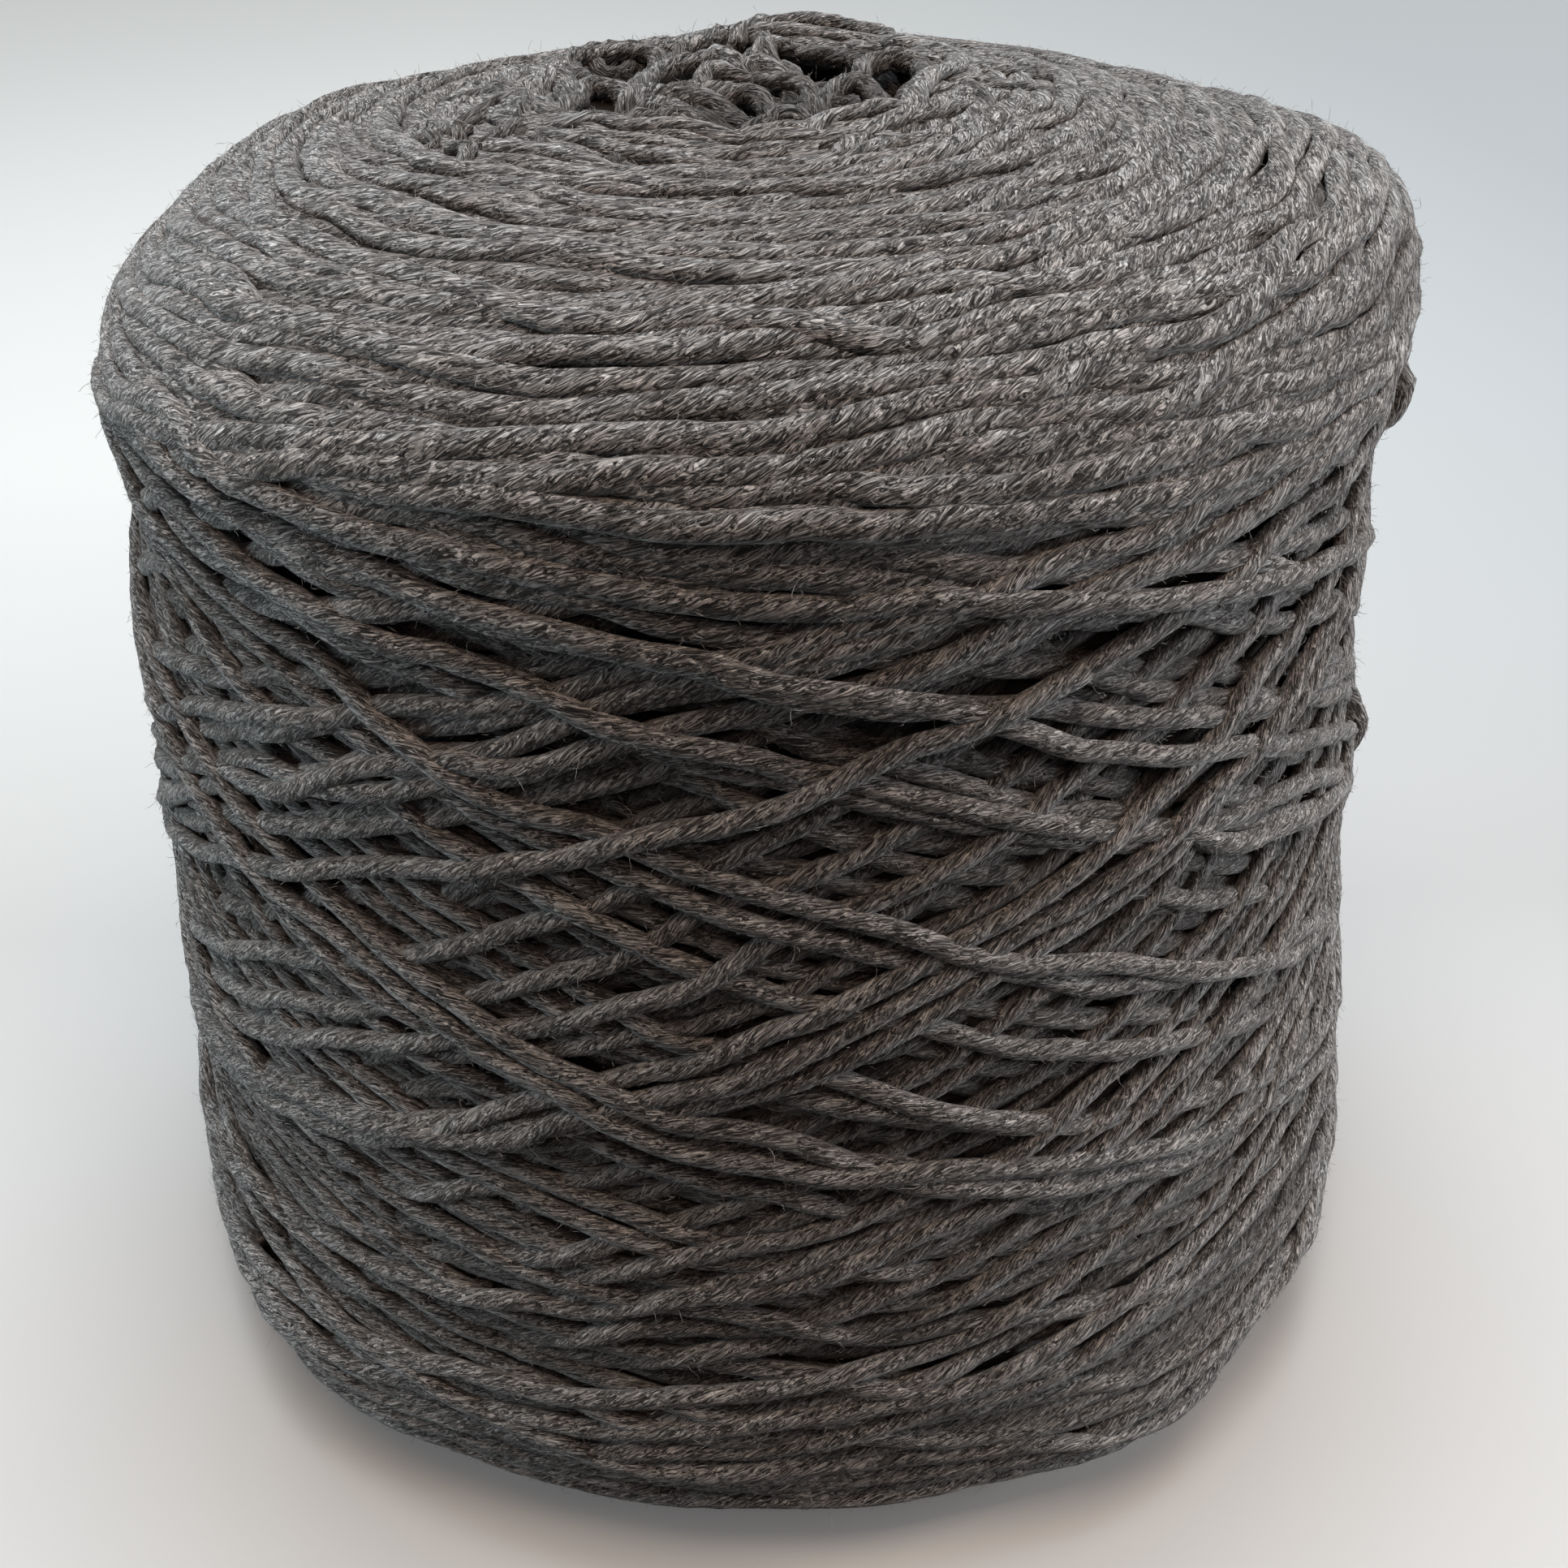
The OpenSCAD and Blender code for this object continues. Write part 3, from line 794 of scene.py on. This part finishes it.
def shown_stretches():
    """Runs of rings that can be seen, leaving out yarn buried under the layers above it."""
    near = smoothed((depth_under_others() < LEAST_COVER).astype(float), 1.2) > 0.03
    near = np.convolve(near, np.ones(2 * TUCK_POINTS + 1), mode="same") > 0
    edges = np.flatnonzero(np.diff(np.r_[0, near.astype(int), 0]))
    return [(a, b) for a, b in zip(edges[::2], edges[1::2]) if b - a > LEAST_POINTS]


def add_winding():
    """The passes as pieces of yarn, the deepest first."""
    along = np.arange(len(laid)) * LAY_STEP * MM
    groups, rings = [[]], 0
    for a, b in shown_stretches():
        to_end = np.minimum(np.arange(b - a), np.arange(b - a)[::-1])
        lay_lift[a:b] -= np.interp(to_end, [0, 2 * TUCK_POINTS], [TUCK_DEPTH, 0.0])
        while b > a:
            end = min(b, a + (MAX_RINGS - rings) * RING_POINTS)
            if end - a > LEAST_POINTS:
                groups[-1].append(np.arange(a, end, RING_POINTS))
                rings += len(groups[-1][-1])
            if end < b or rings >= MAX_RINGS - SPARE_RINGS:
                groups.append([])
                rings = 0
            a = end if end == b else end - RING_POINTS
    for i, group in enumerate(g for g in groups if g):
        picked = np.concatenate(group)
        path, outward = on_package(lay_angle[picked], lay_run[picked], lay_lift[picked])
        over = lay_lift[picked, None] + lay_h[picked, None] / 2 * np.sin(np.arange(SIDES) * TURN / SIDES)
        # Painted shade for each point, from how far it lies under the package's outline
        piece = yarn_piece(f"yarn_layer_{i + 1:02d}", path, outward, along[picked], [len(g) for g in group],
                           yarn_finish, (-OPEN_DEPTH - over) / (DARK_DEPTH - OPEN_DEPTH),
                           lay_w[picked], lay_h[picked])
        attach(piece, "root")
        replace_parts(piece, "outer_winding")


add_winding()

FACE_SINK = 1.0                    # the flat lower face of the deep layers lies this far up in the yarn
FACE_IN_R, FACE_OUT_R = 33.5, BASE_R - EDGE_W + 5.5    # reach of the turns of yarn on it,
FACE_PITCH = 2.45                  # and their spacing
CORE_SEGMENTS = 180
CORE_RUN_STEP = 6                  # its rings, in cells along the outline
CORE_TOP_R, CORE_LOW_R = 16.5, 31.5    # its bore, just off the cone's wall


def add_core():
    """Body of the deep layers, just under the deepest yarn that shows, painted near black as painted shade.
    """
    count = CORE_SEGMENTS
    turn = np.arange(count) * TURN / count
    run, angle = np.meshgrid(RUNS[::CORE_RUN_STEP], turn, indexing="ij")
    sunk = np.interp(run, [0, 14, RUN_LIP + 3, RUN_LIP + 12], [FACE_SINK, CORE_SINK, CORE_SINK, 0.3])
    skin = on_package(angle.ravel(), run.ravel(), -sunk.ravel())[0].reshape(-1, count, 3)
    skin[..., 2] = np.maximum(skin[..., 2], FOOT_Z + FACE_SINK)

    def ring(radius, z):
        return np.c_[radius * np.cos(turn), radius * np.sin(turn), np.full(count, z)][None]

    points = np.concatenate([ring(CORE_LOW_R, FOOT_Z + FACE_SINK), skin, ring(CORE_TOP_R, LEDGE_Z - 3)])
    rows = len(points)
    i, k = np.meshgrid(np.arange(rows), np.arange(count), indexing="ij")
    next_i, next_k = (i + 1) % rows, (k + 1) % count
    here, beside = i * count + k, i * count + next_k
    above, above_beside = next_i * count + k, next_i * count + next_k
    corners = np.stack([here, beside, above_beside, above], -1).reshape(-1)
    piece = mesh_piece("deep_layers", points.reshape(-1, 3), corners, np.full(rows * count, 4), inner_shade_finish)
    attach(piece, "root")
    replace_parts(piece, "yarn_body")


def add_lower_face():
    """The flat lower face: turns of yarn that lie side by side, where the passes have turned back."""
    turns = (FACE_OUT_R - FACE_IN_R) / FACE_PITCH
    share = np.linspace(0, 1, 4000)
    radius = FACE_IN_R + (FACE_OUT_R - FACE_IN_R) * share
    angle = TURN * turns * share
    # A slow wave sideways, and a quicker and smaller one up and down
    wave = 0.35 * np.sin(3 * angle + 1.0) * np.sin(0.37 * angle)
    bow = np.interp(radius, [FACE_OUT_R - 6, FACE_OUT_R], [0, 0.6])
    z = FOOT_Z + YARN_H / 2 + 0.15 + bow + 0.18 * np.sin(7.3 * angle)
    path = np.c_[(radius + wave) * np.cos(angle), (radius + wave) * np.sin(angle), z]
    gone = np.r_[0, np.cumsum(np.linalg.norm(np.diff(path, axis=0), axis=1))]
    even = np.linspace(0, gone[-1], int(gone[-1] / RING_STEP))
    path = np.stack([np.interp(even, gone, path[:, i]) for i in range(3)], axis=1)
    outward = np.tile((0.0, 0.0, -1.0), (len(path), 1))
    piece = yarn_piece("lower_face_turns", path, outward, even * MM, [len(path)], yarn_finish,
                       np.zeros((len(path), SIDES)), YARN_W * 1.04, YARN_H)
    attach(piece, "root")


add_lower_face()
add_core()


# Slack loops --------------------------------------------------------------------------------------

SLACK_W, SLACK_H = 3.0, 2.7        # slack yarn is fuller than yarn that is wound tight
SLACK_APART = 900.0                # loops are this far apart along the yarn, so no two have the same fibres
LOOP_SINK = 0.6                    # how far the loops have sagged into the pit

# Loops that have slipped over the lip, as points x, y and height against the top of the dome
LIP_LOOPS = [
    [(-14, -17, -5), (-13, -16, 0.5), (-11.5, -12, 1.5), (-7.5, -9, 1.5), (-4, -9, 0.5), (-0.5, -11, -1),
     (2, -15, -3), (3, -16, -6)],
    [(-12.5, -18, -5), (-11.5, -17, 0), (-9.5, -14, 1), (-6, -12, 0), (-3.5, -15, -1), (-2.5, -17, -3),
     (-2, -18, -6)],
    [(-10, -8, -6), (-9, -7.5, -0.5), (-5.5, -6.5, 0), (-2, -8, -1), (1, -11.5, -2.5), (3, -14, -6)],
    [(-2.5, -7, -6), (-1.5, -7, 0), (1, -6, 1), (3, -8, 0), (4.5, -12, -2), (5, -14, -6)],
    [(1, -1, -5), (1.5, 1, 0), (2, 3, 1.5), (4, 3, 2), (6, 0, 0.5), (7, -6, -2), (7.5, -9, -6)],
    [(3.5, 0, -6), (4, 4, 0.5), (6, 4.5, 1), (8, 1, 0), (8.5, -5, -3), (9, -8, -7)],
    [(6.5, -3, -6), (7, -1, -1), (8, 2, 0), (9.5, 2, -0.5), (10.5, -2, -2), (11, -4, -6)],
    [(9.5, -10, -5), (10.5, -7, -1), (12, -2, 0), (15, 0, 0.5), (17, -3, 0), (17.5, -8, -1), (16, -12, -5)],
    [(14, 2, -5), (15.5, 4, 0), (17, 8, 0.5), (20, 10, 1), (23, 8, 1), (24, 3, 0.5), (24, -2, 0),
     (22, -6, -4)],
    [(-14, -6, -5), (-12.5, -3, 0.5), (-10.5, 3, 1), (-8, 8, 1.5), (-4.5, 10, 2), (-1.5, 9, 2), (0.5, 4, 1),
     (1, 0, -4)],
    [(-25, -18, -2), (-25.5, -16, 1), (-24.5, -10, 2), (-22.5, -5, 2.5), (-20.5, -6, 2), (-20, -14, 1),
     (-19, -18, -3)],
    [(-20, -19, -3), (-20, -16, 1), (-19.5, -10, 1.5), (-17.5, -7, 2), (-14.5, -8, 1.5), (-12.5, -13, 0.5),
     (-12, -17, -4)],
    [(-9, 14, -4), (-7, 18, 0.5), (-4.5, 22, 1.5), (-1.5, 26, 2), (1.5, 27, 2), (3.5, 24, 1.5),
     (4.5, 20, 0.5), (5, 16, -4)],
    [(1, 14, -4), (2, 17, 0.5), (5, 21, 1), (9, 20, 0.5), (14, 18, 0), (19.5, 14, -1), (21, 10, -5)],
    [(-1, 22, 0), (1.5, 25, 2), (5.5, 28, 2.5), (11.5, 29, 2.5), (17.5, 27, 2), (21.5, 22, 1), (22, 17, -3)],
    [(-23, 10, -2), (-22.5, 14, 1), (-19, 18, 1.5), (-14.5, 20, 1.5), (-10.5, 18, 1), (-11, 13, -2)],
    [(-13.5, -23, -4), (-13, -23, -0.5), (-11, -22.5, 1), (-8.5, -22, 1.5), (-6, -22.5, 1),
     (-4.5, -23.5, -0.5), (-4, -23.5, -4)],
    [(1, -23, -4), (1.5, -22.5, -0.5), (3.5, -21.5, 0.9), (5.5, -21, 1.2), (7.5, -22, 0.5), (8.5, -22.5, -3)],
]
LIP_JITTER = 0.35                  # unevenness of their points
PIT_PAINTED_SHADE = (2.5, 5.5)             # painted shade in the pit starts this far over the dome's top, and is full over this depth

PILE_LOOPS = 24                    # loops under them, piled on the cone's nose
PILE_STEP = 2.4                    # angle from one to the next, in radians
PILE_POINTS, PILE_JITTER = 14, 0.5
PILE_LOW, PILE_HEIGHT = 14.5, 13   # depth of the lowest under the dome's top, and climb to the highest

RIM_ANGLES = [*range(115, 226, 11), *range(335, 364, 14)]    # where loops lie over the lip
RIM_JITTER = 0.1                   # unevenness of these places, in radians
STRAY_POINTS, STRAY_JITTER = 9, 0.4
STRAY_ROOT = 1.8                   # a stray loop starts and ends this deep in the winding
DOME_CURLS = 3                     # small loops on the dome,
CURL_PLACE = (205, 15)             # at this angle, give or take this much

# Bends that stand out of the wall, as angle, height and how far
WALL_NUBS = [(-19, 136.5, 1.5), (-18, 88.8, 0.0)]
NUB_HALF_LENGTH, NUB_SLANT, NUB_SINK = 5.0, 2.0, 2.6


def rounded(points, step):
    """A smooth path through points, evenly spaced."""
    points = np.asarray(points, float)
    before = np.vstack([2 * points[0] - points[1], points, 2 * points[-1] - points[-2]])
    t = np.linspace(0, 1, 24, endpoint=False)[:, None]
    parts = []
    for a, b, c, d in zip(before, before[1:], before[2:], before[3:]):
        parts.append(0.5 * (2 * b + (c - a) * t + (2 * a - 5 * b + 4 * c - d) * t ** 2
                            + (3 * b - a - 3 * c + d) * t ** 3))
    path = np.vstack([*parts, points[-1:]])
    gone = np.r_[0, np.cumsum(np.linalg.norm(np.diff(path, axis=0), axis=1))]
    even = np.linspace(0, gone[-1], int(gone[-1] / step) + 2)
    return np.stack([np.interp(even, gone, path[:, i]) for i in range(3)], axis=1)


def steady_normals(path):
    """Directions square to a path that don't turn round it."""
    ahead = np.gradient(path, axis=0)
    normal = np.cross(ahead[0], (0.3, 0.2, 1.0))
    normals = []
    for way in ahead:
        way = way / np.linalg.norm(way)
        normal = normal - way * (normal @ way)
        normal = normal / np.linalg.norm(normal)
        normals.append(normal)
    return np.array(normals)


def slack_piece(name, paths, width, height, painted_shade_of):
    """Slack yarn along several paths, as one piece. The last argument gives the painted shade of a path's
    points.
    """
    along, lengths = [], []
    for path in paths:
        gone = np.r_[0, np.cumsum(np.linalg.norm(np.diff(path, axis=0), axis=1))]
        along.append((gone + SLACK_APART * len(along)) * MM)
        lengths.append(len(path))
    path, outward = np.vstack(paths), np.vstack([steady_normals(p) for p in paths])
    depth = np.repeat(painted_shade_of(path)[:, None], SIDES, axis=1)
    piece = yarn_piece(name, path, outward, np.concatenate(along), lengths, yarn_finish, depth, width, height,
                       2 * RAGGED)
    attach(piece, "root")
    return piece


def pit_painted_shade(path):
    """Painted shade for slack yarn: 0 where it lies open, and up to 1 deep in the pit."""
    above, reach = PIT_PAINTED_SHADE
    return (TOP_Z + above - path[:, 2]) / reach


def open_all_over(path):
    """No painted shade at any point, for yarn that lies on the package."""
    return np.zeros(len(path))


def pile_loop(i):
    """One loop of the pile that lies on the cone's nose."""
    towards = i * PILE_STEP
    turn = towards + np.linspace(0.0, TURN * rng.uniform(0.9, 1.25), PILE_POINTS)
    shift, radius = rng.uniform(6.5, 8.5), rng.uniform(7.0, 8.6)
    tilt, tilt_to = rng.uniform(0.05, 0.32), rng.uniform(0, TURN)
    x = shift * math.cos(towards) + radius * np.cos(turn)
    y = shift * math.sin(towards) + radius * np.sin(turn)
    z = TOP_Z - PILE_LOW + PILE_HEIGHT * (i / (PILE_LOOPS - 1)) + tilt * radius * np.cos(turn - tilt_to)
    return rounded(np.c_[x, y, z] + rng.normal(0, PILE_JITTER, (PILE_POINTS, 3)), 1.3)


def stray_loop(towards, run_out, run_in, half, lift, skew):
    """A loop that comes out of the winding at run_out, half to each side of its place, and bows to run_in."""
    share = np.linspace(0, 1, STRAY_POINTS)
    bow = np.sin(np.pi * share)
    run = run_out + (run_in - run_out) * bow ** 0.8 + rng.normal(0, STRAY_JITTER, STRAY_POINTS)
    across = half * (2 * share - 1) + skew * bow + rng.normal(0, STRAY_JITTER, STRAY_POINTS)
    rise = (lift + STRAY_ROOT) * np.minimum(1, 1.7 * bow) + rng.normal(0, STRAY_JITTER / 2, STRAY_POINTS)
    rise -= STRAY_ROOT
    return rounded(on_package(towards + across / np.interp(run, RUNS, RUN_R), run, rise)[0], 1.0)


def rim_loop(angle):
    """One of the loops that lie over the lip, on the left and on the right."""
    return stray_loop(math.radians(angle) + rng.normal(0, RIM_JITTER), RUN_LIP - rng.uniform(3, 13),
                      RUN_LIP + rng.uniform(0, 7), rng.uniform(3.5, 9), rng.uniform(0.1, 1.2),
                      rng.uniform(-9, 9))


def dome_curl():
    """One of the small flat loops on the dome, to the left of the pit."""
    run = RUN_LIP - rng.uniform(4, 18)
    return stray_loop(math.radians(rng.normal(*CURL_PLACE)), run, run + rng.uniform(1.5, 3.5),
                      rng.uniform(2.5, 4.5), rng.uniform(0.0, 0.4), rng.uniform(-2, 2))


def wall_nub(angle, height, lift):
    """A bend of the yarn that stands a little proud of the wall."""
    share = np.linspace(-1, 1, STRAY_POINTS)
    run = run_at_height(height) + NUB_HALF_LENGTH * share
    rise = lift + (NUB_SINK + lift) * (np.cos(np.pi / 2 * share) - 1)
    towards = math.radians(angle) + NUB_SLANT * share / np.interp(run, RUNS, RUN_R)
    return rounded(on_package(towards, run, rise)[0], 1.0)


def add_slack_loops():
    """The pile on the nose, the loops in the pit and over its lip, and the bends that stand proud."""
    pile = [pile_loop(i) for i in range(PILE_LOOPS)]
    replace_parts(slack_piece("piled_loops", pile, SLACK_W, SLACK_H, pit_painted_shade), "nose_loops")
    to_top = (0, 0, TOP_Z - LOOP_SINK)
    lip = [rounded(loop + rng.normal(0, LIP_JITTER, (len(loop), 3)) + to_top, 1.0)
           for loop in map(np.array, LIP_LOOPS)]
    slack_piece("lip_loops", lip, SLACK_W, SLACK_H, pit_painted_shade)
    rim = [rim_loop(angle) for angle in RIM_ANGLES]
    slack_piece("rim_loops", rim, YARN_W * 1.04, YARN_H, pit_painted_shade)
    curls = [dome_curl() for _ in range(DOME_CURLS)]
    slack_piece("curls", curls, YARN_W * 0.8, YARN_H * 0.8, open_all_over)
    nubs = [wall_nub(*nub) for nub in WALL_NUBS]
    slack_piece("wall_nubs", nubs, YARN_W * 1.15, YARN_H * 1.15, open_all_over)


add_slack_loops()


# Loose fibres -------------------------------------------------------------------------------------

FIBRE_SIDES = 3
LEAST_Z = 0.5                      # fibres stay this far off the floor
FIBRE_LEAN = (-0.35, 0.45)         # mean and spread of the fibres' lean out of the yarn's own direction
CLING = 0.12                       # how far a fibre turns back to the yarn at each of its points

# Pieces, fibres in each, points on one, length, stand-off, curl and half thickness
FIBRE_KINDS = {
    "short_fibres": (6, 20000, 3, 1.2, 0.34, 0.50, 0.034),
    "long_fibres": (2, 7500, 6, 2.4, 0.24, 0.75, 0.027),
}


def unit(vectors):
    """The same directions at length 1."""
    return vectors / (np.linalg.norm(vectors, axis=-1, keepdims=True) + 1e-12)


def fibre_paths(count, points, length, stand_off, curl):
    """Short curly paths that start on the yarn that shows and run mostly along it."""
    path, outward, half_w, half_h, joined = (np.concatenate(part) for part in zip(*fibre_ground))
    at = np.sort(rng.choice(np.flatnonzero(joined), count))
    run = path[at + 1] - path[at]
    ahead = unit(run)
    side = unit(np.cross(ahead, outward[at]))
    round_yarn = np.radians(rng.uniform(0, 180, count))[:, None]
    off = side * np.cos(round_yarn) * half_w[at, None] + outward[at] * np.sin(round_yarn) * half_h[at, None]
    start = path[at] + run * rng.random((count, 1)) + off * 0.96
    facing = unit(off)
    way = np.where(rng.random(count) < 0.5, -1, 1)[:, None]
    heading = unit(ahead * way + np.cross(facing, ahead) * way * rng.normal(*FIBRE_LEAN, (count, 1))
                   + facing * rng.gamma(1.5, stand_off / 1.5, (count, 1)))
    step = (length * rng.uniform(0.5, 1.6, count) / (points - 1))[:, None]
    bend = rng.normal(0, curl, (count, 3))
    places = [start]
    for _ in range(points - 1):
        places.append(places[-1] + heading * step)
        places[-1][:, 2] = np.maximum(places[-1][:, 2], LEAST_Z)
        heading = unit(heading + bend + rng.normal(0, curl * 0.6, (count, 3)) - facing * CLING)
    return np.stack(places, axis=1), facing


def spindle_faces(count, inner):
    """Corners and face sizes of fibres that are pointed at both ends, with inner rings between."""
    own = 2 + inner * FIBRE_SIDES
    k = np.arange(FIBRE_SIDES)
    ring = 2 + np.arange(inner)[:, None] * FIBRE_SIDES
    here, beside = ring[:-1] + k, ring[:-1] + (k + 1) % FIBRE_SIDES
    quads = np.stack([here, here + FIBRE_SIDES, beside + FIBRE_SIDES, beside], -1).reshape(-1)
    first = np.stack([np.zeros(FIBRE_SIDES, int), 2 + k, 2 + (k + 1) % FIBRE_SIDES], -1).reshape(-1)
    tail = ring[-1]
    last = np.stack([np.ones(FIBRE_SIDES, int), tail + (k + 1) % FIBRE_SIDES, tail + k], -1).reshape(-1)
    pattern = np.r_[quads, first, last]
    sizes = np.r_[np.full((inner - 1) * FIBRE_SIDES, 4), np.full(2 * FIBRE_SIDES, 3)]
    return (np.arange(count)[:, None] * own + pattern).reshape(-1), np.tile(sizes, count), len(pattern)


def add_fibres(name, pieces, count, points, length, stand_off, curl, half_thick):
    """Loose fibres over the whole package, in that many pieces of count fibres."""
    inner = points - 2
    turn = np.arange(FIBRE_SIDES) * TURN / FIBRE_SIDES
    for i in range(pieces):
        path, facing = fibre_paths(count, points, length, stand_off, curl)
        ahead = unit(np.gradient(path, axis=1))[:, 1:-1]
        side = unit(np.cross(ahead, facing[:, None]))
        up = np.cross(side, ahead)
        spokes = np.cos(turn)[:, None] * side[:, :, None] + np.sin(turn)[:, None] * up[:, :, None]
        rings = path[:, 1:-1, None] + half_thick * spokes
        places = np.concatenate([path[:, :1], path[:, -1:], rings.reshape(count, -1, 3)], axis=1)
        corners, sizes, per_fibre = spindle_faces(count, inner)
        grid = math.ceil(math.sqrt(count))
        owner = np.repeat(np.arange(count), per_fibre)
        own = (np.c_[owner % grid, owner // grid] + 0.5) / grid
        piece = mesh_piece(f"{name}_{i + 1}", places.reshape(-1, 3), corners, sizes, fibre_finish,
                           {"OFBake": own})
        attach(piece, "root")


for kind, measures in FIBRE_KINDS.items():
    add_fibres(kind, *measures)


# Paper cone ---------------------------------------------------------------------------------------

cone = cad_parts["paper_cone"]
cone.data.materials.clear()
cone.data.materials.append(paper_finish)
